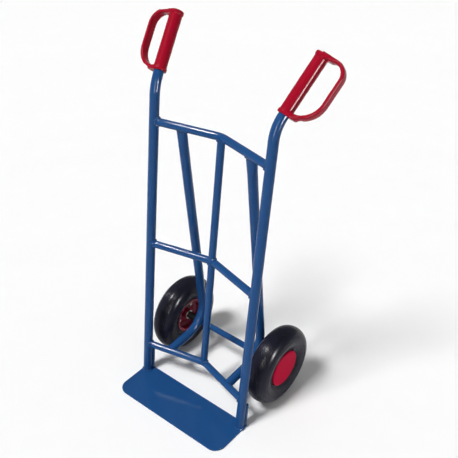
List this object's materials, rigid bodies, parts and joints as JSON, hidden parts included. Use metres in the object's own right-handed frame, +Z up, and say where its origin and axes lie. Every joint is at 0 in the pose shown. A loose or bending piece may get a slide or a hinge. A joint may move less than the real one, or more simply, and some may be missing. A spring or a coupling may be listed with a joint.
{
  "type": "hand truck",
  "caption": "Welded tube hand truck that leans back on a flat toe plate, with air-tyred wheels, bent rear struts and sleeve grips with hand guards.",
  "frame": {"origin": "on the floor, in the middle of the rectangle that the truck covers", "axes": "+X to the truck's right seen from the front, +Y to its rear where the wheels are, +Z up"},
  "size_m": [0.6058, 0.4419, 1.1349],
  "materials": {
    "frame_paint": "gloss blue powder coat",
    "grip_plastic": "gloss red moulded plastic",
    "tyre_rubber": "satin black",
    "tube_rubber": "matt black",
    "rim_paint": "gloss red paint on pressed steel",
    "cover_plastic": "satin red",
    "zinc_steel": "zinc plated",
    "roller_steel": "ground and oiled",
    "black_plastic": "matt black"
  },
  "bodies": {
    "frame": {"left_upright": "frame_paint", "right_upright": "frame_paint", "top_crossbar": "frame_paint", "middle_crossbar": "frame_paint", "bottom_crossbar": "frame_paint", "upper_centre_bar": "frame_paint", "lower_centre_bar": "frame_paint", "left_strut": "frame_paint", "right_strut": "frame_paint", "toe_plate": "frame_paint", "axle": "frame_paint", "left_grip": "grip_plastic", "right_grip": "grip_plastic", "left_spacer": "black_plastic", "left_inner_washer": "zinc_steel", "left_outer_washer": "zinc_steel", "left_split_pin": "zinc_steel", "right_spacer": "black_plastic", "right_inner_washer": "zinc_steel", "right_outer_washer": "zinc_steel", "right_split_pin": "zinc_steel"},
    "left_wheel": {"left_tyre": "tyre_rubber", "left_inner_tube": "tube_rubber", "left_valve_stem": "tube_rubber", "left_valve_cap": "black_plastic", "left_inner_rim": "rim_paint", "left_outer_rim": "rim_paint", "left_rim_bolts": "zinc_steel", "left_rim_nuts": "zinc_steel", "left_hub": "rim_paint", "left_wheel_cover": "cover_plastic"},
    "right_wheel": {"right_tyre": "tyre_rubber", "right_inner_tube": "tube_rubber", "right_valve_stem": "tube_rubber", "right_valve_cap": "black_plastic", "right_inner_rim": "rim_paint", "right_outer_rim": "rim_paint", "right_rim_bolts": "zinc_steel", "right_rim_nuts": "zinc_steel", "right_hub": "rim_paint", "right_wheel_cover": "cover_plastic"},
    "left_bearing": {"left_roller_cage": "black_plastic", "left_rollers": "roller_steel"},
    "right_bearing": {"right_roller_cage": "black_plastic", "right_rollers": "roller_steel"}
  },
  "joints": [
    {"name": "left_wheel_spin", "type": "hinge", "parent": "frame", "child": "left_wheel", "pos_m": [-0.193, 0.09096, 0.13], "axis": [1, 0, 0], "continuous": true},
    {"name": "left_bearing_roll", "type": "hinge", "parent": "frame", "child": "left_bearing", "pos_m": [-0.193, 0.09096, 0.13], "axis": [1, 0, 0], "continuous": true},
    {"name": "right_wheel_spin", "type": "hinge", "parent": "frame", "child": "right_wheel", "pos_m": [0.193, 0.09096, 0.13], "axis": [1, 0, 0], "continuous": true},
    {"name": "right_bearing_roll", "type": "hinge", "parent": "frame", "child": "right_bearing", "pos_m": [0.193, 0.09096, 0.13], "axis": [1, 0, 0], "continuous": true}
  ],
  "couplings": [
    {"joint": "left_bearing_roll", "follows": "left_wheel_spin", "ratio": 0.58333},
    {"joint": "right_bearing_roll", "follows": "right_wheel_spin", "ratio": 0.58333}
  ]
}
